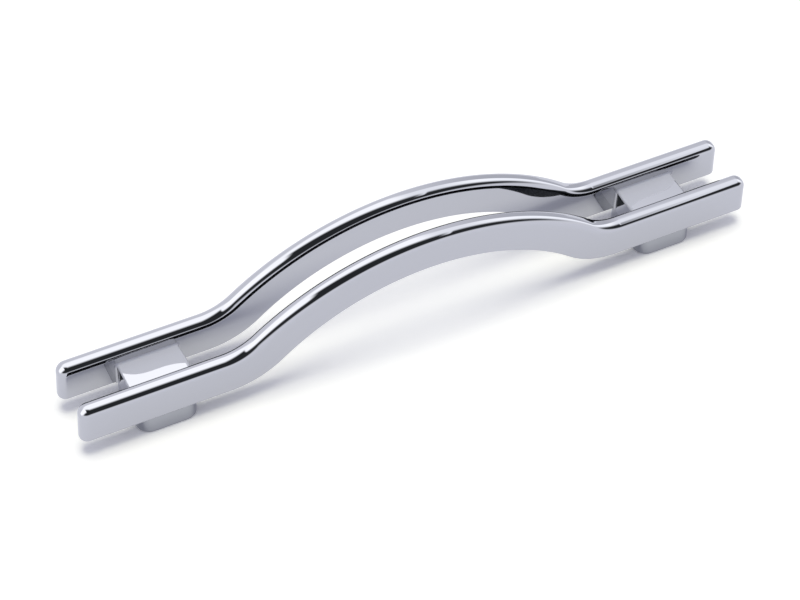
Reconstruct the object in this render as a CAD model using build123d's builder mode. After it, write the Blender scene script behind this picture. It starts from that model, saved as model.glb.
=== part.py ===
"""Double-bar bridge pull handle with 128 mm hole centres, one zinc die casting.

Two slim bars run side by side along X. Each lies flat at its ends and rises in
one round arch between them. Two posts tie the bars together, one at each hole
centre, and reach below them as feet that stand on the drawer front. Each foot
has a blind tapped hole for a screw that comes through the drawer front.

+X runs along the handle and +Z points away from the drawer front. The origin
lies midway between the holes, in the plane that the feet stand on.
"""

from build123d import *
from math import radians, tan
import os

# Along the handle
overall_length = 169.6       # along the foot of the ends
hole_centres = 128.0
end_draft = 3.0              # degrees that the ends of the bars lean in towards the top

# Across the handle
bar_thickness = 4.2
bar_gap = 9.0

# Heights
foot_height = 5.0            # drawer front to the underside of the flat ends
end_depth = 9.6              # depth of a bar along its flat ends
crown_rise = 27.3            # underside of the flat ends to the top of the arch
crown_depth = 9.2            # depth of a bar at the middle of the arch
post_recess = 3.7            # tops of the bars down to the tops of the posts

# Curves of the side profile
arch_top_radius = 68.0
arch_under_radius = 56.5
valley_radius = 12.0         # where the flat top turns up into the arch
knee_radius = 20.0           # where the flat underside turns up into the arch

# Rounded edges
bar_top_flat = 0.4           # left flat along the top of a bar between its two round edges
nose_excess = 0.4            # how much rounder a bar is at the top of its ends
under_edge_radius = 0.5      # lower edges of the bars
root_radius = 0.6            # where a post meets the inner faces of the bars
post_rim_radius = 0.5        # ends of the top of a post
foot_edge_radius = 0.3

# Posts and feet
foot_length = 13.8           # between the corners, before the ends swell
foot_inset = 0.5             # sides of a foot, in from the outer faces of the bars
foot_corner_radius = 3.4
foot_inner_swell = 0.8       # how far the end that faces the other foot is bowed out
foot_outer_swell = 0.3

# Tapped holes, M4
tap_drill_diameter = 3.3
tap_depth = 8.0
drill_point_angle = 118.0
mouth_chamfer = 0.4

# Sizes that follow from those above
bar_edge_radius = (bar_thickness - bar_top_flat) / 2     # upper edges and ends of a bar
nose_radius = bar_edge_radius + nose_excess              # upper corner at each end of a bar
overall_width = 2 * bar_thickness + bar_gap
bar_top = foot_height + end_depth
crown_top = foot_height + crown_rise
crown_under = crown_top - crown_depth
post_top = bar_top - post_recess
foot_side = overall_width / 2 - foot_inset
foot_near = (hole_centres - foot_length) / 2
foot_far = (hole_centres + foot_length) / 2

drill_point_depth = tap_drill_diameter / 2 / tan(radians(drill_point_angle / 2))

near = 0.01                  # half the band in which edges and corners are looked for

os.makedirs("parts", exist_ok=True)


def corners_at(sketch, height):
    """Corners of a sketch at one height, from left to right."""
    level = sketch.vertices().filter_by_position(Axis.Y, height - near, height + near)
    return level.sort_by(Axis.X)


with BuildPart() as handle:
    # One bar: its side profile, given its thickness and rounded all round
    with BuildSketch(Plane.XZ.offset(bar_gap / 2)) as profile:
        with Locations((0, crown_top - arch_top_radius)):
            Circle(arch_top_radius)
        with Locations((0, foot_height)):
            Rectangle(
                2 * overall_length,
                4 * arch_top_radius,
                align=(Align.CENTER, Align.MAX),
                mode=Mode.SUBTRACT,
            )
            Trapezoid(
                overall_length,
                end_depth,
                90 - end_draft,
                align=(Align.CENTER, Align.MIN),
            )
        with Locations((0, crown_under - arch_under_radius)):
            Circle(arch_under_radius, mode=Mode.SUBTRACT)
        fillet(corners_at(profile, foot_height)[1:-1], knee_radius)
        fillet(corners_at(profile, bar_top)[1:-1], valley_radius)
        fillet(corners_at(profile, bar_top).group_by(Axis.X)[0], nose_radius)
        fillet(corners_at(profile, bar_top).group_by(Axis.X)[-1], nose_radius)
    extrude(amount=bar_thickness)

    # Both fillets run on from the arch along the tangent edges, the upper one down
    # the ends of the bar and the lower one right round its underside
    arch_edges = handle.edges().filter_by(GeomType.CIRCLE).sort_by(SortBy.RADIUS)
    fillet(arch_edges[-2:], bar_edge_radius)
    under_edges = handle.edges().filter_by(
        lambda edge: edge.geom_type == GeomType.CIRCLE
        and abs(edge.radius - arch_under_radius) < near
    )
    fillet(under_edges, under_edge_radius)

    mirror(about=Plane.XZ)

    # Posts and feet
    with BuildSketch() as foot_plan:
        with BuildLine():
            inner_end = ThreePointArc(
                (foot_near, -foot_side),
                (foot_near - foot_inner_swell, 0),
                (foot_near, foot_side),
            )
            outer_end = ThreePointArc(
                (foot_far, -foot_side),
                (foot_far + foot_outer_swell, 0),
                (foot_far, foot_side),
            )
            Line(inner_end @ 0, outer_end @ 0)
            Line(inner_end @ 1, outer_end @ 1)
        make_face()
        fillet(foot_plan.vertices(), foot_corner_radius)
        mirror(about=Plane.YZ)
    extrude(amount=post_top)

    # Rims of the ends of the posts, then the roots that run down beside them
    post_tops = handle.faces().filter_by(Axis.Z).filter_by_position(
        Axis.Z, post_top - near, post_top + near
    )
    fillet(post_tops.edges().filter_by(GeomType.CIRCLE), post_rim_radius)
    root_edges = handle.edges().filter_by(
        lambda edge: edge.geom_type == GeomType.LINE
        and abs(edge.center().Z - post_top) < near
        and abs(abs(edge.center().Y) - bar_gap / 2) < near
    )
    fillet(root_edges, root_radius)

    # Tapped holes from below, each with its drill point and a chamfered mouth
    with Locations(Plane(origin=(0, 0, 0), z_dir=(0, 0, -1))):
        with GridLocations(hole_centres, 0, 2, 1):
            Hole(tap_drill_diameter / 2, tap_depth)
    with Locations((0, 0, tap_depth)):
        with GridLocations(hole_centres, 0, 2, 1):
            Cone(
                tap_drill_diameter / 2,
                0,
                drill_point_depth,
                align=(Align.CENTER, Align.CENTER, Align.MIN),
                mode=Mode.SUBTRACT,
            )
    underside = handle.faces().filter_by(Axis.Z).filter_by_position(Axis.Z, -near, near)
    mouths = underside.edges().filter_by(
        lambda edge: edge.geom_type == GeomType.CIRCLE
        and abs(edge.radius - tap_drill_diameter / 2) < near
    )
    chamfer(mouths, mouth_chamfer)
    fillet(underside.edges().filter_by(GeomType.LINE), foot_edge_radius)

handle.part.label = "pull_handle"
export_step(handle.part, "parts/pull_handle.step")
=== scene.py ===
import math
from functools import partial

import bmesh
import bpy
from mathutils import Matrix, Vector


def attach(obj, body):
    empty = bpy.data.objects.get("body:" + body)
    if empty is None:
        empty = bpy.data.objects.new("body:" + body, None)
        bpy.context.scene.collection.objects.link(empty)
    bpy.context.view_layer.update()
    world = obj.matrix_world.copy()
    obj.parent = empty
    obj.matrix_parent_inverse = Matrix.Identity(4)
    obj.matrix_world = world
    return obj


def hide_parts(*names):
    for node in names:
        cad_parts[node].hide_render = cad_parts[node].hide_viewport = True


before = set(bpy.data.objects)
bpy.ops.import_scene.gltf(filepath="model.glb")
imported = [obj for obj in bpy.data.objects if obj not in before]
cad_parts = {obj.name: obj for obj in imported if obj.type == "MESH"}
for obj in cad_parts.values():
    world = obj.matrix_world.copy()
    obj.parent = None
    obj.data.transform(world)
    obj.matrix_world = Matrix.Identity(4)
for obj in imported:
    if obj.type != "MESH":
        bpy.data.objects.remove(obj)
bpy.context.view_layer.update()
print("frame loaded")

# Sizes are in millimetres and degrees. Meshes are in metres.
mm = 0.001
weld = {
    "outline": 1e-6,         # millimetres; what is closer is one point
    "tube": 1e-6,            # metres, as are the rest
    "piece": 2e-6,
    "seam": 1e-5,
}


def arc(centre, radius, start, end, step=1.0):
    count = max(2, math.ceil(abs(end - start) / step))
    points = []
    for k in range(count + 1):
        turn = math.radians(start + (end - start) * k / count)
        points.append((centre[0] + radius * math.cos(turn), centre[1] + radius * math.sin(turn)))
    return points


def withoutRepeats(points):
    kept = []
    for point in points:
        if not kept or math.dist(kept[-1], point) > weld["outline"]:
            kept.append(point)
    return kept


def bothHalves(left):
    return withoutRepeats(left + [(-x, z) for x, z in reversed(left)])


# Two arcs that touch: how far sideways their centres are, and where on them the touch is
def touch(reach, rise):
    sideways = math.sqrt(reach * reach - rise * rise)
    return sideways, math.degrees(math.atan2(rise, sideways))


# Points and quads of rows that follow each other
def quadRows(rows, closed=False):
    count = len(rows[0])
    points = [point for row in rows for point in row]
    faces = []
    for start in range(0, (len(rows) - 1) * count, count):
        for j in range(count if closed else count - 1):
            a, b = start + j, start + (j + 1) % count
            faces.append((a, b, b + count, a + count))
    return points, faces


def stacked(parts):
    points, faces = [], []
    for partPoints, partFaces in parts:
        start = len(points)
        points += partPoints
        faces += [[start + index for index in face] for face in partFaces]
    return points, faces


def linked(name, data):
    made = bpy.data.objects.new(name, data)
    bpy.context.scene.collection.objects.link(made)
    return made


def newObject(name, points, edges=(), faces=()):
    mesh = bpy.data.meshes.new(name)
    mesh.from_pydata([Vector(point) * mm for point in points], edges, faces)
    return linked(name, mesh)


def pathObject(name, points, closed=False):
    edges = [(k, k + 1) for k in range(len(points) - 1)]
    if closed:
        edges.append((len(points) - 1, 0))
    return newObject(name, points, edges)


def baked(source, name):
    graph = bpy.context.evaluated_depsgraph_get()
    mesh = bpy.data.meshes.new_from_object(source.evaluated_get(graph), depsgraph=graph)
    source.modifiers.clear()
    made = linked(name, mesh)
    bpy.data.objects.remove(source)
    return made


def setInputs(modifier, values):
    for item in modifier.node_group.interface.items_tree:
        if item.item_type == "SOCKET" and item.in_out == "INPUT" and item.name in values:
            modifier[item.identifier] = values[item.name]


# One mesh out of several. A shell is closed, so its faces can be turned outwards.
def joined(pieces, name, material, shell=False):
    whole = bmesh.new()
    for piece in pieces:
        whole.from_mesh(piece.data)
        bpy.data.objects.remove(piece)
    distance = weld["seam" if shell else "piece"]
    bmesh.ops.remove_doubles(whole, verts=whole.verts, dist=distance)
    if shell:
        bmesh.ops.recalc_face_normals(whole, faces=whole.faces)
    for face in whole.faces:
        face.smooth = True
        face.material_index = 0
    mesh = bpy.data.meshes.new(name)
    whole.to_mesh(mesh)
    whole.free()
    mesh.materials.append(material)
    return linked(name, mesh)


def evened(source, name):
    even = source.modifiers.new("evenNormals", "WEIGHTED_NORMAL")
    even.mode = "FACE_AREA"
    even.weight = 100
    return baked(source, name)


# Sets a socket to a number or a color, or links it to another node's output
def feed(tree, value, socket):
    if isinstance(value, tuple):
        socket.default_value = (*value, 1)
    elif isinstance(value, (int, float)):
        socket.default_value = value
    else:
        tree.links.new(value, socket)


def mathNode(tree, operation, *values, clamp=False):
    node = tree.nodes.new("ShaderNodeMath")
    node.operation = operation
    node.use_clamp = clamp
    for value, socket in zip(values, node.inputs):
        feed(tree, value, socket)
    return node.outputs[0]


def vectorNode(tree, x, y, z=0.0):
    node = tree.nodes.new("ShaderNodeCombineXYZ")
    for value, socket in zip((x, y, z), node.inputs):
        feed(tree, value, socket)
    return node.outputs[0]


# Eases from low to high while value goes from start to end
def ramp(tree, value, start, end, low=0.0, high=1.0):
    node = tree.nodes.new("ShaderNodeMapRange")
    node.interpolation_type = "SMOOTHSTEP"
    names = ("Value", "From Min", "From Max", "To Min", "To Max")
    for name, given in zip(names, (value, start, end, low, high)):
        feed(tree, given, node.inputs[name])
    return node.outputs["Result"]


def blendValue(tree, factor, below, above):
    step = mathNode(tree, "SUBTRACT", above, below)
    return mathNode(tree, "MULTIPLY_ADD", factor, step, below)


def blendColor(tree, factor, below, above):
    node = tree.nodes.new("ShaderNodeMix")
    node.data_type = "RGBA"
    for value, socket in zip((factor, below, above), (node.inputs[0], *node.inputs[6:8])):
        feed(tree, value, socket)
    return node.outputs[2]


def newTree(name, kind, inputs, outputs):
    tree = bpy.data.node_groups.new(name, kind)
    for way, given in (("INPUT", inputs), ("OUTPUT", outputs)):
        for title, socketType in given.items():
            tree.interface.new_socket(title, in_out=way, socket_type="NodeSocket" + socketType)
    return tree


# The way every Geometry Nodes tree here ends
def finishTree(tree, mesh, material):
    real = tree.nodes.new("GeometryNodeRealizeInstances")
    tree.links.new(mesh, real.inputs[0])
    coated = tree.nodes.new("GeometryNodeSetMaterial")
    tree.links.new(real.outputs[0], coated.inputs[0])
    tree.links.new(material, coated.inputs["Material"])
    output = tree.nodes.new("NodeGroupOutput")
    tree.links.new(coated.outputs[0], output.inputs[0])


def merge(tree, mesh):
    merged = tree.nodes.new("GeometryNodeMergeByDistance")
    merged.inputs["Distance"].default_value = weld["tube"]
    tree.links.new(mesh, merged.inputs[0])
    return merged.outputs[0]


camera = {
    "place": (-0.17240, -0.32146, 0.41325),
    "yaw": 27.757,           # turned from +Y towards +X
    "down": 48.346,          # looking down
    "roll": 2.046,
    "lens": 106.37,
    "sensor": 36.0,
    "nearest": 0.01,
}


def makeCamera(settings):
    yaw, down, roll = (math.radians(settings[key]) for key in ("yaw", "down", "roll"))
    ahead = Vector((
        math.sin(yaw) * math.cos(down),
        math.cos(yaw) * math.cos(down),
        -math.sin(down),
    ))
    level = Vector((math.cos(yaw), -math.sin(yaw), 0))
    upright = level.cross(ahead)
    across = math.cos(roll) * level + math.sin(roll) * upright
    upwards = math.cos(roll) * upright - math.sin(roll) * level
    data = bpy.data.cameras.new("productCamera")
    data.lens = settings["lens"]
    data.sensor_width = settings["sensor"]
    data.clip_start = settings["nearest"]
    eye = linked("productCamera", data)
    turn = Matrix((across, upwards, -ahead)).transposed().to_4x4()
    eye.matrix_world = Matrix.Translation(settings["place"]) @ turn
    bpy.context.scene.camera = eye


# What stands round the handle, by direction: degrees away from straight up, split into
# right, towards +X, and back, towards +Y. A pair says where a change starts and ends.
studio = {
    "softbox": (1.72, 1.73, 1.77),
    "streak": (1.34, 1.36, 1.44),        # weaker stripe in the softbox
    "streakLeft": (14.0, 23.0),
    "streakRight": (52.0, 30.0),
    "streakShare": 0.95,
    "rightBox": (1.62, 1.64, 1.72),
    "rightBoxEdge": (46.0, 60.0),
    "leftBox": (1.80, 1.80, 1.85),
    "leftBoxEdge": (-33.0, -38.0),
    "wall": (0.97, 0.98, 1.06),
    "wallRight": (0.70, 0.71, 0.78),
    "wallFade": (16.0, 56.0),
    "wallHeight": 40.5,
    "wallSlopeFrom": 15.0,
    "wallSlope": -0.48,
    "wallSoftness": 2.5,
    "front": (1.02, 1.03, 1.10),         # pale table in front, just above the horizon
    "frontLean": (70.0, 85.0),
    "frontBack": (0.0, -20.0),
    "dome": (0.518, 0.527, 0.605),       # even light on soft surfaces
}

# Dark room in front, under the boxes
darkRoom = {
    "color": (0.030, 0.033, 0.036),
    "slope": -0.6,
    "start": -5.0,
    "limit": 12.0,
    "softness": 15.0,
    "left": (-26.0, -31.0),
    "underLeft": (-12.0, -38.0),
    "right": (23.0, 28.0),
    "underRight": (-34.0, -48.0),
    "farRight": (27.2, 28.6),
    "underFarRight": (-6.0, -34.0),
}


# How dark the room is in a direction, from 0 to 1
def roomShade(tree, room, right, back):
    slope = mathNode(tree, "MULTIPLY_ADD", right, room["slope"], room["start"])
    edge = mathNode(tree, "MINIMUM", slope, room["limit"])
    past = mathNode(tree, "SUBTRACT", back, edge)
    shade = ramp(tree, past, room["softness"], -room["softness"])
    underLeft, underRight, underFarRight = (
        ramp(tree, back, *room[key]) for key in ("underLeft", "underRight", "underFarRight")
    )
    underRight = blendValue(tree, ramp(tree, right, *room["farRight"]), underRight, underFarRight)
    shade = blendValue(tree, ramp(tree, right, *room["left"]), shade, underLeft)
    return blendValue(tree, ramp(tree, right, *room["right"]), shade, underRight)


def makeWorld(settings, room):
    world = bpy.data.worlds.new("studio")
    bpy.context.scene.world = world
    world.use_nodes = True
    world.cycles.sampling_method = "NONE"      # so that Diffuse Depth holds for every ray
    tree = world.node_tree
    nodes, links = tree.nodes, tree.links
    nodes.clear()
    calc = partial(mathNode, tree)

    where = nodes.new("ShaderNodeTexCoord")
    split = nodes.new("ShaderNodeSeparateXYZ")
    links.new(where.outputs["Generated"], split.inputs[0])
    dx, dy, dz = split.outputs
    levelSquared = calc("ADD", calc("MULTIPLY", dy, dy), 1e-9)      # never quite 0
    level = calc("SQRT", calc("ADD", calc("MULTIPLY", dx, dx), levelSquared))
    lean = calc("MULTIPLY", calc("ARCTAN2", level, dz), 180 / math.pi)
    perLevel = calc("DIVIDE", lean, level)
    right = calc("MULTIPLY", dx, perLevel)
    back = calc("MULTIPLY", dy, perLevel)

    streakLeft = ramp(tree, right, *settings["streakLeft"])
    streak = calc("MULTIPLY", streakLeft, ramp(tree, right, *settings["streakRight"]))
    streak = calc("MULTIPLY", streak, settings["streakShare"])
    color = blendColor(tree, streak, settings["softbox"], settings["streak"])
    for name in ("rightBox", "leftBox"):
        isBox = ramp(tree, right, *settings[name + "Edge"])
        color = blendColor(tree, isBox, color, settings[name])

    past = calc("MAXIMUM", calc("SUBTRACT", right, settings["wallSlopeFrom"]), 0.0)
    wallEdge = calc("ADD", calc("MULTIPLY", past, settings["wallSlope"]), settings["wallHeight"])
    softness = settings["wallSoftness"]
    isWall = ramp(tree, calc("SUBTRACT", back, wallEdge), -softness, softness)
    fade = ramp(tree, right, *settings["wallFade"])
    wall = blendColor(tree, fade, settings["wall"], settings["wallRight"])
    color = blendColor(tree, isWall, color, wall)

    color = blendColor(tree, roomShade(tree, room, right, back), color, room["color"])
    isFront = calc(
        "MULTIPLY",
        ramp(tree, lean, *settings["frontLean"]),
        ramp(tree, back, *settings["frontBack"]),
    )
    color = blendColor(tree, isFront, color, settings["front"])

    path = nodes.new("ShaderNodeLightPath")
    isSoft = calc("GREATER_THAN", path.outputs["Diffuse Depth"], 0.5)
    color = blendColor(tree, isSoft, color, settings["dome"])
    lit = nodes.new("ShaderNodeBackground")
    links.new(color, lit.inputs["Color"])
    output = nodes.new("ShaderNodeOutputWorld")
    links.new(lit.outputs[0], output.inputs["Surface"])


# Broad lamp straight above, which gives the floor its shadow
overhead = {
    "strength": 1.467,
    "color": (1.0, 0.99, 0.83),
    "spread": 28.0,
    "tilt": 0.5,
    "height": 0.5,
}


def makeLamp(settings):
    data = bpy.data.lights.new("overhead", "SUN")
    data.energy = settings["strength"]
    data.color = settings["color"]
    data.angle = math.radians(settings["spread"])
    lamp = linked("overhead", data)
    lamp.location = (0, 0, settings["height"])
    lamp.rotation_euler = (math.radians(settings["tilt"]), 0, 0)
    lamp.visible_glossy = False


paleFloor = {
    "color": (0.86, 0.86, 0.86),
    "mirrored": (1.01, 1.02, 1.10),      # as the chrome mirrors it
    "seen": (1.16, 1.16, 1.16),          # as the camera sees it
    "glow": (0.95, 0.96, 1.05),
    "glowShare": 0.18,                   # how much of the mirrored floor has no shadow
    "size": 4.0,
}


def makeFloor(settings):
    half = settings["size"] / 2
    corners = [(-half, -half, 0), (half, -half, 0), (half, half, 0), (-half, half, 0)]
    mesh = bpy.data.meshes.new("floor")
    mesh.from_pydata(corners, [], [(0, 1, 2, 3)])
    floor = linked("floor", mesh)
    material = bpy.data.materials.new("paleFloor")
    material.use_nodes = True
    tree = material.node_tree
    nodes, links = tree.nodes, tree.links
    nodes.remove(nodes["Principled BSDF"])

    path = nodes.new("ShaderNodeLightPath")
    direct = mathNode(tree, "LESS_THAN", path.outputs["Diffuse Depth"], 0.5)
    mirrored = mathNode(tree, "MULTIPLY", path.outputs["Is Glossy Ray"], direct)
    color = blendColor(tree, mirrored, settings["color"], settings["mirrored"])
    color = blendColor(tree, path.outputs["Is Camera Ray"], color, settings["seen"])
    matt = nodes.new("ShaderNodeBsdfDiffuse")
    links.new(color, matt.inputs["Color"])
    glow = nodes.new("ShaderNodeEmission")
    glow.inputs["Color"].default_value = (*settings["glow"], 1)
    mixed = nodes.new("ShaderNodeMixShader")
    share = mathNode(tree, "MULTIPLY", mirrored, settings["glowShare"])
    for source, socket in zip((share, matt.outputs[0], glow.outputs[0]), mixed.inputs):
        links.new(source, socket)
    links.new(mixed.outputs[0], nodes["Material Output"].inputs["Surface"])
    floor.data.materials.append(material)


# One bar. Curves are given by the heights of their centres, seen from the side.
bar = {
    "halfLength": 84.295,    # at the level of the flat tops
    "endLean": 3.0,
    "leanFrom": 78.0,        # what is further out than this leans
    "halfWidth": 2.1,
    "offset": 6.6,           # middle of a bar from the middle of the handle
    "underside": 5.0,
    "top": 14.6,
    "archCentre": -35.7,
    "archRadius": 68.0,
    "underCentre": -33.4,
    "underRadius": 56.5,
    "valleyRadius": 12.0,
    "kneeRadius": 20.0,
    "noseRadius": 2.3,
    "edgeRadius": 1.9,
    "underEdge": 0.5,
    "edgeSteps": 24,         # quads round a quarter turn of the upper edges
    "underEdgePoints": 9,
    "archStep": 0.6,         # degrees between points
    "bendStep": 1.0,
    "noseStep": 4.0,
}


# Outline from the foot of the left end over the top to the foot of the right end
def topOutline(bar, inset):
    valleyZ = bar["top"] + bar["valleyRadius"]
    reach = bar["archRadius"] + bar["valleyRadius"]
    valleyX, turn = touch(reach, valleyZ - bar["archCentre"])
    nose = (bar["noseRadius"] - bar["halfLength"], bar["top"] - bar["noseRadius"])
    left = [(inset - bar["halfLength"], bar["underside"] + bar["underEdge"])]
    left += arc(nose, bar["noseRadius"] - inset, 180, 90, bar["noseStep"])
    valley = (-valleyX, valleyZ)
    left += arc(valley, bar["valleyRadius"] + inset, -90, -turn, bar["bendStep"])
    arch = (0, bar["archCentre"])
    left += arc(arch, bar["archRadius"] - inset, 180 - turn, 90, bar["archStep"])
    return bothHalves(left)


# Underside from left to right
def underOutline(bar, inset, end):
    kneeZ = bar["underside"] + bar["kneeRadius"]
    reach = bar["underRadius"] + bar["kneeRadius"]
    kneeX, turn = touch(reach, kneeZ - bar["underCentre"])
    left = [(-end, bar["underside"] + inset)]
    left += arc((-kneeX, kneeZ), bar["kneeRadius"] - inset, -90, -turn, bar["bendStep"])
    arch = (0, bar["underCentre"])
    left += arc(arch, bar["underRadius"] + inset, 180 - turn, 90, bar["archStep"])
    return bothHalves(left)


# Round one end of a bar in plan, from the front to the back
def endCorners(bar, end):
    middleY = bar["halfWidth"] - bar["edgeRadius"]
    bend = bar["edgeRadius"] - bar["underEdge"]
    step = 90 / bar["edgeSteps"]
    front = arc((end, -middleY), bend, -90, 0, step)
    return front, arc((end, middleY), bend, 0, 90, step)


# Ring round the underside, counter-clockwise seen from above
def underRing(bar, middle, under, end):
    inner = bar["halfWidth"] - bar["underEdge"]
    low = bar["underside"] + bar["underEdge"]
    front, back = endCorners(bar, end)
    ring = [(x, -inner, z) for x, z in under]
    ring += [(x, y, low) for x, y in front[1:] + back]
    ring += [(x, inner, z) for x, z in reversed(under)][1:]
    ring += [(-x, -y, low) for x, y in front[1:] + back[:-1]]
    return [(x, y + middle, z) for x, y, z in ring]


# What lies between the swept edges: both faces, the underside and its rounded ends
def makePlates(bar, middle, top, under, end, material):
    outline = top + under[-2:0:-1]
    parts = []
    for y in (-bar["halfWidth"], bar["halfWidth"]):
        side = [(x, middle + y, z) for x, z in outline]
        parts.append((side, [range(len(side))]))
    inner = bar["halfWidth"] - bar["underEdge"]
    lowest = underOutline(bar, 0.0, end)
    parts.append(quadRows([[(x, middle + y, z) for x, z in lowest] for y in (-inner, inner)]))
    front, back = endCorners(bar, end)
    for way in (-1, 1):
        cap = [(way * x, middle + y, bar["underside"]) for x, y in front + back]
        parts.append((cap, [range(len(cap))]))
    points, faces = stacked(parts)
    plates = newObject("plates", points, (), faces)
    plates.data.materials.append(material)
    return plates


# Sweeps a profile along a path: one rounded edge, or two with the flat between them
def sweepTree():
    inputs = {
        "Geometry": "Geometry",
        "Half Width": "Float",
        "Edge Radius": "Float",
        "Edge Points": "Int",
        "One Edge": "Bool",
        "Material": "Material",
    }
    tree = newTree("edgeSweep", "GeometryNodeTree", inputs, {"Geometry": "Geometry"})
    nodes, links = tree.nodes, tree.links
    given = nodes.new("NodeGroupInput")
    source, halfWidth, radius, count, oneEdge, material = given.outputs[:6]

    def quarter(start):
        turn = nodes.new("GeometryNodeCurveArc")
        turn.mode = "RADIUS"
        links.new(count, turn.inputs["Resolution"])
        links.new(radius, turn.inputs["Radius"])
        turn.inputs["Start Angle"].default_value = start
        turn.inputs["Sweep Angle"].default_value = math.pi / 2
        return turn.outputs["Curve"]

    def either(whenFalse, whenTrue):
        switch = nodes.new("GeometryNodeSwitch")
        switch.input_type = "GEOMETRY"
        links.new(oneEdge, switch.inputs["Switch"])
        links.new(whenFalse, switch.inputs["False"])
        links.new(whenTrue, switch.inputs["True"])
        return switch.outputs[0]

    flat = mathNode(tree, "SUBTRACT", halfWidth, radius)
    minusFlat = mathNode(tree, "MULTIPLY", flat, -1)
    twoEdges = nodes.new("GeometryNodeJoinGeometry")
    for middle, start in ((flat, 0.0), (minusFlat, math.pi / 2)):
        shift = nodes.new("GeometryNodeTransform")
        links.new(quarter(start), shift.inputs["Geometry"])
        links.new(vectorNode(tree, middle, 0.0), shift.inputs["Translation"])
        links.new(shift.outputs[0], twoEdges.inputs[0])
    line = nodes.new("GeometryNodeCurvePrimitiveLine")
    links.new(vectorNode(tree, flat, radius), line.inputs["Start"])
    links.new(vectorNode(tree, minusFlat, radius), line.inputs["End"])
    links.new(line.outputs[0], twoEdges.inputs[0])
    profile = either(twoEdges.outputs[0], quarter(0.0))

    path = nodes.new("GeometryNodeMeshToCurve")
    links.new(source, path.inputs[0])
    upright = nodes.new("GeometryNodeSetCurveNormal")
    upright.mode = "FREE"
    upright.inputs["Normal"].default_value = (0, 1, 0)
    links.new(path.outputs[0], upright.inputs[0])
    level = nodes.new("GeometryNodeSetCurveNormal")
    level.mode = "Z_UP"
    links.new(path.outputs[0], level.inputs[0])
    swept = nodes.new("GeometryNodeCurveToMesh")
    links.new(either(upright.outputs[0], level.outputs[0]), swept.inputs["Curve"])
    links.new(profile, swept.inputs["Profile Curve"])
    finishTree(tree, merge(tree, swept.outputs[0]), material)
    return tree


def sweep(path, name, values):
    modifier = path.modifiers.new("sweep", "NODES")
    modifier.node_group = bpy.data.node_groups.get("edgeSweep") or sweepTree()
    setInputs(modifier, values)
    return baked(path, name)


def makeBar(bar, side, material):
    middle = side * bar["offset"]
    end = bar["halfLength"] - bar["edgeRadius"]
    top = topOutline(bar, bar["edgeRadius"])
    under = underOutline(bar, bar["underEdge"], end)
    topPath = pathObject("topPath", [(x, middle, z) for x, z in top])
    underPath = pathObject("underPath", underRing(bar, middle, under, end), closed=True)
    pieces = [
        sweep(topPath, "topEdges", {
            "Half Width": bar["halfWidth"] * mm,
            "Edge Radius": bar["edgeRadius"] * mm,
            "Edge Points": bar["edgeSteps"] + 1,
            "One Edge": False,
            "Material": material,
        }),
        sweep(underPath, "underEdge", {
            "Half Width": bar["underEdge"] * mm,
            "Edge Radius": bar["underEdge"] * mm,
            "Edge Points": bar["underEdgePoints"],
            "One Edge": True,
            "Material": material,
        }),
        makePlates(bar, middle, top, under, end, material),
    ]
    whole = joined(pieces, "bar", material, shell=True)
    lean = math.tan(math.radians(bar["endLean"]))
    for vert in whole.data.vertices:
        if abs(vert.co.x) > bar["leanFrom"] * mm:
            below = bar["top"] * mm - vert.co.z
            vert.co.x += math.copysign(below * lean, vert.co.x)
    return whole


# A post between the bars and its foot below them. Both ends are bowed in plan.
post = {
    "top": 10.9,
    "rim": 0.5,
    "root": 0.6,             # where the post meets a bar
    "gap": 4.5,              # half the gap between the bars
    "holeX": 64.0,
    "innerEnd": 56.3,        # where the bowed ends cross the middle line
    "outerEnd": 71.2,
    "innerBow": 42.425,      # radii of the bows
    "outerBow": 112.2,
    "side": 8.2,
    "corner": 3.4,
    "footEdge": 0.3,
    "intoBar": 1.0,          # how far the foot's wall goes up inside a bar
    "clearOfBar": 0.05,
    "footEdgeSteps": 6,
    "rimSteps": 12,
    "rootStep": 6,           # degrees
    "cornerStep": 4.0,
    "innerStep": 0.6,
    "outerStep": 0.25,
    "middleRows": [-3.0, -2.0, -1.0, 0.0],
}


# Where the two bowed ends stand, at y across
def postEnds(post, y):
    inner = post["innerEnd"] + post["innerBow"] - math.sqrt(post["innerBow"] ** 2 - y * y)
    outer = post["outerEnd"] - post["outerBow"] + math.sqrt(post["outerBow"] ** 2 - y * y)
    return inner, outer


# Plan of a foot, counter-clockwise, moved in by an inset
def footOutline(post, inset):
    side = post["side"] - post["corner"]
    corner = post["corner"] - inset
    innerMiddle = post["innerEnd"] + post["innerBow"]
    outerMiddle = post["outerEnd"] - post["outerBow"]
    innerReach = post["innerBow"] - post["corner"]
    outerReach = post["outerBow"] - post["corner"]
    innerX = innerMiddle - math.sqrt(innerReach ** 2 - side * side)
    outerX = outerMiddle + math.sqrt(outerReach ** 2 - side * side)
    innerTurn = math.degrees(math.asin(side / innerReach))
    outerTurn = math.degrees(math.asin(side / outerReach))
    innerBow, outerBow = post["innerBow"] - inset, post["outerBow"] - inset
    step = post["cornerStep"]
    points = arc((innerX, -side), corner, 180 + innerTurn, 270, step)
    points += arc((outerX, -side), corner, -90, -outerTurn, step)
    points += arc((outerMiddle, 0), outerBow, -outerTurn, outerTurn, post["outerStep"])
    points += arc((outerX, side), corner, outerTurn, 90, step)
    points += arc((innerX, side), corner, 90, 180 - innerTurn, step)
    start, end = 180 - innerTurn, 180 + innerTurn
    points += arc((innerMiddle, 0), innerBow, start, end, post["innerStep"])
    points = withoutRepeats(points)
    if math.dist(points[0], points[-1]) < weld["outline"]:
        points.pop()
    return points


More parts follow.
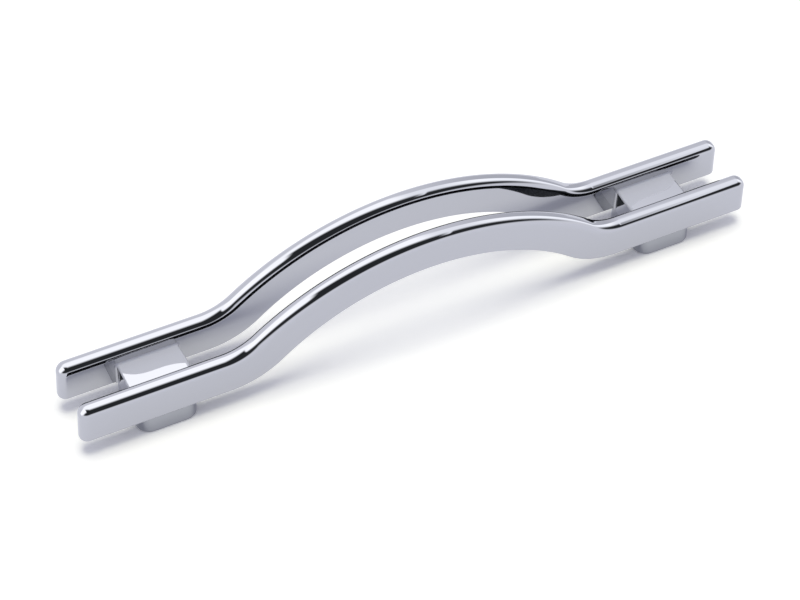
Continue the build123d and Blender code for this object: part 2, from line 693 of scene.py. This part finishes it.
# Wall of a foot, from its rounded lower edge up to the bars
def footWall(post, underside):
    rows = []
    for k in range(post["footEdgeSteps"] + 1):
        turn = math.radians(90 * k / post["footEdgeSteps"])
        inset = post["footEdge"] * (1 - math.sin(turn))
        z = post["footEdge"] * (1 - math.cos(turn))
        rows.append([(x, y, z) for x, y in footOutline(post, inset)])
    upper = []
    for x, y in footOutline(post, 0.0):
        inside = abs(y) > post["gap"] + post["clearOfBar"]
        upper.append((x, y, underside + (post["intoBar"] if inside else 0.0)))
    return quadRows(rows + [upper], closed=True)


# Points over a post along the bars, each with the way that it faces
def postSection(post, underside, y):
    inner, outer = postEnds(post, y)
    rim, steps = post["rim"], post["rimSteps"]
    section = [(inner, underside, -1.0, 0.0)]
    for middle, start in ((inner + rim, 180), (outer - rim, 90)):
        for k in range(steps + 1):
            turn = math.radians(start - 90 * k / steps)
            outX, outZ = math.cos(turn), math.sin(turn)
            section.append((middle + rim * outX, post["top"] - rim + rim * outZ, outX, outZ))
    return section + [(outer, underside, 1.0, 0.0)]


# What shows of a post between the bars, with the roots that sweep out to them
def postTop(post, underside):
    gap, root = post["gap"], post["root"]
    turns = (math.radians(turn) for turn in range(0, 91, post["rootStep"]))
    half = [-gap + root * (1 - math.cos(turn)) for turn in turns] + post["middleRows"]
    rows = []
    for y in half + [-y for y in reversed(half[:-1])]:
        over = max(0.0, abs(y) - (gap - root))
        lift = root - math.sqrt(max(0.0, root ** 2 - over * over))
        rows.append([
            (x + outX * lift, y, z + outZ * lift)
            for x, z, outX, outZ in postSection(post, underside, y)
        ])
    return quadRows(rows)


# Underside of a foot, round the mouth of its hole
def footUnderside(post, hole):
    mesh = bmesh.new()
    mouth = hole["radius"] + hole["mouth"]
    outlines = (
        footOutline(post, post["footEdge"]),
        arc((post["holeX"], 0), mouth, 0, 360, 360 / hole["sides"])[:-1],
    )
    edges = []
    for outline in outlines:
        ring = [mesh.verts.new((x, y, 0)) for x, y in outline]
        edges += [mesh.edges.new((ring[k - 1], ring[k])) for k in range(len(ring))]
    bmesh.ops.triangle_fill(mesh, edges=edges, use_beauty=True, normal=(0, 0, -1))
    mesh.verts.index_update()
    points = [tuple(vert.co) for vert in mesh.verts]
    faces = [[vert.index for vert in face.verts] for face in mesh.faces]
    mesh.free()
    return points, faces


def makeFoot(post, hole, underside, way, material):
    points, faces = stacked([
        footWall(post, underside),
        postTop(post, underside),
        footUnderside(post, hole),
    ])
    if way < 0:
        points = [(-x, -y, z) for x, y, z in points]
    foot = newObject("foot", points, (), faces)
    foot.data.materials.append(material)
    return foot


# Blind tapped hole in a foot
hole = {
    "radius": 1.65,
    "mouth": 0.4,            # chamfer
    "depth": 8.0,
    "pointAngle": 118.0,
    "pitch": 0.7,
    "groove": 0.38,          # depth of the thread
    "sides": 96,
    "rows": 150,
    "flank": 2.6,            # more makes the crests of the thread narrower
    "tappedShare": 0.92,     # of the depth
}


# A grid bent to a tube, whose radius follows the chamfer, the thread and the drill point
def threadTree(hole):
    sizes = ("Radius", "Mouth", "Depth", "Point", "Pitch", "Groove")
    inputs = {"Geometry": "Geometry", **{name: "Float" for name in sizes}}
    inputs.update({"Sides": "Int", "Rows": "Int", "Material": "Material"})
    tree = newTree("tappedHole", "GeometryNodeTree", inputs, {"Geometry": "Geometry"})
    nodes, links = tree.nodes, tree.links
    calc = partial(mathNode, tree)
    given = nodes.new("NodeGroupInput")
    radius, mouth, depth, point, pitch, groove, sides, rows, material = given.outputs[1:10]

    grid = nodes.new("GeometryNodeMeshGrid")
    grid.inputs["Size X"].default_value = 1.0
    grid.inputs["Size Y"].default_value = 1.0
    links.new(calc("ADD", sides, 1), grid.inputs["Vertices X"])
    links.new(rows, grid.inputs["Vertices Y"])
    place = nodes.new("GeometryNodeInputPosition")
    split = nodes.new("ShaderNodeSeparateXYZ")
    links.new(place.outputs[0], split.inputs[0])
    around = calc("ADD", split.outputs[0], 0.5)
    deep = calc("MULTIPLY", calc("ADD", split.outputs[1], 0.5), calc("ADD", depth, point))

    phase = calc("FRACT", calc("ADD", calc("DIVIDE", deep, pitch), around))
    tooth = calc("MULTIPLY", calc("PINGPONG", phase, 0.5), hole["flank"])
    tooth = calc("MULTIPLY", calc("MINIMUM", tooth, 1.0), groove)
    started = calc("DIVIDE", calc("SUBTRACT", deep, mouth), pitch, clamp=True)
    left = calc("SUBTRACT", calc("MULTIPLY", depth, hole["tappedShare"]), deep)
    stopped = calc("DIVIDE", left, pitch, clamp=True)
    tooth = calc("MULTIPLY", tooth, calc("MULTIPLY", started, stopped))

    flare = calc("MAXIMUM", calc("SUBTRACT", mouth, deep), 0.0)
    taper = calc("DIVIDE", calc("MAXIMUM", calc("SUBTRACT", deep, depth), 0.0), point)
    plain = calc("MULTIPLY", radius, calc("SUBTRACT", 1.0, taper))
    reach = calc("ADD", calc("ADD", plain, flare), tooth)
    angle = calc("MULTIPLY", around, 2 * math.pi)
    x = calc("MULTIPLY", reach, calc("COSINE", angle))
    y = calc("MULTIPLY", reach, calc("SINE", angle))
    bent = nodes.new("GeometryNodeSetPosition")
    links.new(grid.outputs["Mesh"], bent.inputs["Geometry"])
    links.new(vectorNode(tree, x, y, deep), bent.inputs["Position"])
    flipped = nodes.new("GeometryNodeFlipFaces")
    links.new(merge(tree, bent.outputs[0]), flipped.inputs[0])
    finishTree(tree, flipped.outputs[0], material)
    return tree


def makeHole(hole, x, material):
    seed = newObject("holeSeed", [(0, 0, 0)])
    modifier = seed.modifiers.new("hole", "NODES")
    modifier.node_group = bpy.data.node_groups.get("tappedHole") or threadTree(hole)
    values = {"Sides": hole["sides"], "Rows": hole["rows"], "Material": material}
    for name in ("radius", "mouth", "depth", "pitch", "groove"):
        values[name.title()] = hole[name] * mm
    point = hole["radius"] / math.tan(math.radians(hole["pointAngle"] / 2))
    values["Point"] = point * mm
    setInputs(modifier, values)
    made = baked(seed, "tappedHole")
    made.data.transform(Matrix.Translation((x * mm, 0, 0)))
    return made


finish = {
    "chrome": (0.535, 0.54, 0.57),
    "shadedFootChrome": (0.425, 0.435, 0.46),      # painted shade: the feet darker, as if mirroring the floor's shadow
    "footShadeFrom": (4.9, 4.6),
    "doubleMirror": (0.035, 0.038, 0.042),   # painted dark reflection where a bar is seen in the other bar
    "barFrom": (-0.08, -0.03),               # from the edge of the gap
    "polish": 0.028,
    "wear": 0.05,
    "wornEdges": (0.53, 0.60),
}

# The recess over a post, frosted where the polishing wheel can't reach. Along the bars it
# is measured in half lengths from the hole.
recess = {
    "color": (0.53, 0.54, 0.615),
    "roughness": 0.55,
    "halfLength": 7.1,
    "ends": (1.12, 1.06),
    "rims": (0.95, 1.0),
    "start": -0.25,          # the polished front part ends here on the middle line
    "outerSweep": 2.3,
    "innerSweep": -1.2,
    "softness": 0.12,
    "below": (-0.6, -0.4),   # from the top of the post
    "above": (0.62, 0.58),
    "sides": (0.05, -0.02),  # from the edge of the gap
}

haze = {
    "Scale": 420.0,
    "Depth": 0.018,
    "Ripple Scale": 90.0,
    "Ripple Strength": 0.012,
}


# Fine haze that polishing leaves: a small change of roughness and a faint ripple
def hazeGroup():
    inputs = {name: "Float" for name in ("Scale", "Depth", "Ripple Scale", "Ripple Strength")}
    outputs = {"Roughness": "Float", "Normal": "Vector"}
    group = newTree("polishHaze", "ShaderNodeTree", inputs, outputs)
    nodes, links = group.nodes, group.links
    given = nodes.new("NodeGroupInput")
    where = nodes.new("ShaderNodeTexCoord")

    def noise(scale, detail):
        node = nodes.new("ShaderNodeTexNoise")
        node.inputs["Detail"].default_value = detail
        links.new(where.outputs["Object"], node.inputs["Vector"])
        links.new(given.outputs[scale], node.inputs["Scale"])
        return node.outputs[0]

    spread = mathNode(group, "SUBTRACT", noise("Scale", 4.0), 0.5)
    ripple = nodes.new("ShaderNodeBump")
    ripple.inputs["Distance"].default_value = 0.0001
    links.new(noise("Ripple Scale", 1.0), ripple.inputs["Height"])
    links.new(given.outputs["Ripple Strength"], ripple.inputs["Strength"])
    output = nodes.new("NodeGroupOutput")
    rough = mathNode(group, "MULTIPLY", spread, given.outputs["Depth"])
    links.new(rough, output.inputs["Roughness"])
    links.new(ripple.outputs[0], output.inputs["Normal"])
    return group


# 1 in the frosted recess, 0 elsewhere. The place is given in millimetres.
def recessMask(tree, recess, post, x, y, z):
    calc = partial(mathNode, tree)
    along = calc("SUBTRACT", calc("ABSOLUTE", x), post["holeX"])
    along = calc("DIVIDE", along, recess["halfLength"])
    away = calc("ABSOLUTE", along)
    outward = calc("POWER", calc("MAXIMUM", along, 0.0), 3.0)
    inward = calc("POWER", calc("MAXIMUM", calc("MULTIPLY", along, -1.0), 0.0), 3.0)
    edge = calc("MULTIPLY_ADD", inward, recess["innerSweep"], recess["start"])
    edge = calc("MULTIPLY_ADD", outward, recess["outerSweep"], edge)
    behind = ramp(tree, calc("SUBTRACT", y, edge), -recess["softness"], recess["softness"])
    frosted = calc("MAXIMUM", behind, ramp(tree, away, *recess["rims"]))
    above, below = (
        ramp(tree, z, *(post["top"] + step for step in recess[key])) for key in ("above", "below")
    )
    sides = (post["gap"] + step for step in recess["sides"])
    inGap = ramp(tree, calc("ABSOLUTE", y), *sides)
    inside = calc("MULTIPLY", calc("MULTIPLY", below, above), inGap)
    inside = calc("MULTIPLY", inside, ramp(tree, away, *recess["ends"]))
    return calc("MULTIPLY", frosted, inside)


def makeChrome(finish, recess, haze, post):
    material = bpy.data.materials.new("chrome")
    material.use_nodes = True
    tree = material.node_tree
    nodes, links = tree.nodes, tree.links
    shader = nodes["Principled BSDF"]
    where = nodes.new("ShaderNodeTexCoord")
    split = nodes.new("ShaderNodeSeparateXYZ")
    links.new(where.outputs["Object"], split.inputs[0])
    x, y, z = (mathNode(tree, "MULTIPLY", axis, 1 / mm) for axis in split.outputs)
    frosted = recessMask(tree, recess, post, x, y, z)

    polished = nodes.new("ShaderNodeGroup")
    polished.node_tree = hazeGroup()
    for name, value in haze.items():
        polished.inputs[name].default_value = value
    bend = nodes.new("ShaderNodeNewGeometry")
    worn = ramp(tree, bend.outputs["Pointiness"], *finish["wornEdges"], 0.0, finish["wear"])
    rough = mathNode(tree, "ADD", polished.outputs["Roughness"], finish["polish"])
    rough = mathNode(tree, "ADD", rough, worn)
    rough = ramp(tree, frosted, 0.0, 1.0, rough, recess["roughness"])
    links.new(rough, shader.inputs["Roughness"])
    links.new(polished.outputs["Normal"], shader.inputs["Normal"])
    links.new(ramp(tree, frosted, 0.0, 1.0, 1.0, 0.0), shader.inputs["Metallic"])

    # Painted shade: the chrome is darker low on the feet, standing in for the shadowed floor they
    # mirror
    isShadedFoot = ramp(tree, z, *finish["footShadeFrom"])
    color = blendColor(tree, isShadedFoot, finish["chrome"], finish["shadedFootChrome"])
    # Painted dark reflection: a bar seen in the mirror of the other bar turns near black
    path = nodes.new("ShaderNodeLightPath")
    again = mathNode(tree, "GREATER_THAN", path.outputs["Glossy Depth"], 0.5)
    barFrom = (post["gap"] + step for step in finish["barFrom"])
    isBar = ramp(tree, mathNode(tree, "ABSOLUTE", y), *barFrom)
    again = mathNode(tree, "MULTIPLY", again, isBar)
    color = blendColor(tree, again, color, finish["doubleMirror"])
    color = blendColor(tree, frosted, color, recess["color"])
    links.new(color, shader.inputs["Base Color"])
    return material


makeCamera(camera)
makeWorld(studio, darkRoom)
makeLamp(overhead)
makeFloor(paleFloor)
print("studio ready")

chrome = makeChrome(finish, recess, haze, post)
pieces = [makeBar(bar, side, chrome) for side in (-1, 1)]
print("bars swept")

for way in (-1, 1):
    pieces.append(makeFoot(post, hole, bar["underside"], way, chrome))
    pieces.append(makeHole(hole, way * post["holeX"], chrome))
print("feet and tapped holes made")

casting = evened(joined(pieces, "castingDraft", chrome), "handleCasting")
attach(casting, "root")
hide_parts("pull_handle")
print("casting joined:", len(casting.data.polygons), "faces")

bpy.context.scene.view_settings.view_transform = "Standard"
